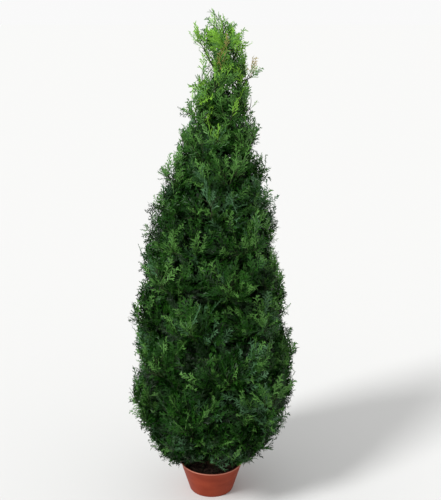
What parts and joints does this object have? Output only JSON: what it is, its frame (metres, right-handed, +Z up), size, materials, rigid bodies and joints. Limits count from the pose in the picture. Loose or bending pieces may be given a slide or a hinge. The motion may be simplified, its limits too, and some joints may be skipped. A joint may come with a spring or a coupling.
{
  "type": "artificial arborvitae tree in a pot",
  "caption": "Slim, dense artificial arborvitae with upswept fan-like sprays round a hidden trunk, standing in a small tapered terracotta-coloured pot.",
  "frame": {"origin": "middle of the pot's flat underside", "axes": "+Z up along the trunk, -Y towards the pictured side, +X to the right of that view"},
  "size_m": [0.5209, 0.5134, 1.5194],
  "materials": {
    "pot": "smooth satin moulded plastic",
    "potting_fill": "rough, peat-like top",
    "trunk": "rough bark",
    "foliage_low": "satin moulded plastic sprays",
    "foliage_middle": "satin moulded plastic sprays",
    "foliage_high": "satin moulded plastic sprays"
  },
  "bodies": {
    "root": {"branch_tier10_1": "foliage_high", "branch_tier10_2": "foliage_high", "branch_tier10_3": "foliage_high", "branch_tier10_4": "foliage_high", "branch_tier11_1": "foliage_high", "branch_tier11_2": "foliage_high", "branch_tier11_3": "foliage_high", "branch_tier11_4": "foliage_high", "branch_tier1_1": "foliage_low", "branch_tier1_2": "foliage_low", "branch_tier1_3": "foliage_low", "branch_tier1_4": "foliage_low", "branch_tier1_5": "foliage_low", "branch_tier1_6": "foliage_low", "branch_tier2_1": "foliage_low", "branch_tier2_2": "foliage_low", "branch_tier2_3": "foliage_low", "branch_tier2_4": "foliage_low", "branch_tier2_5": "foliage_low", "branch_tier2_6": "foliage_low", "branch_tier3_1": "foliage_low", "branch_tier3_2": "foliage_low", "branch_tier3_3": "foliage_low", "branch_tier3_4": "foliage_low", "branch_tier3_5": "foliage_low", "branch_tier3_6": "foliage_low", "branch_tier4_1": "foliage_low", "branch_tier4_2": "foliage_low", "branch_tier4_3": "foliage_low", "branch_tier4_4": "foliage_low", "branch_tier4_5": "foliage_low", "branch_tier4_6": "foliage_low", "branch_tier5_1": "foliage_middle", "branch_tier5_2": "foliage_middle", "branch_tier5_3": "foliage_middle", "branch_tier5_4": "foliage_middle", "branch_tier5_5": "foliage_middle", "branch_tier6_1": "foliage_middle", "branch_tier6_2": "foliage_middle", "branch_tier6_3": "foliage_middle", "branch_tier6_4": "foliage_middle", "branch_tier6_5": "foliage_middle", "branch_tier7_1": "foliage_middle", "branch_tier7_2": "foliage_middle", "branch_tier7_3": "foliage_middle", "branch_tier7_4": "foliage_middle", "branch_tier8_1": "foliage_middle", "branch_tier8_2": "foliage_middle", "branch_tier8_3": "foliage_middle", "branch_tier8_4": "foliage_middle", "branch_tier9_1": "foliage_high", "branch_tier9_2": "foliage_high", "branch_tier9_3": "foliage_high", "branch_tier9_4": "foliage_high", "leader": "foliage_high", "pot": "pot", "potting_fill": "potting_fill", "trunk": "trunk"}
  },
  "joints": []
}
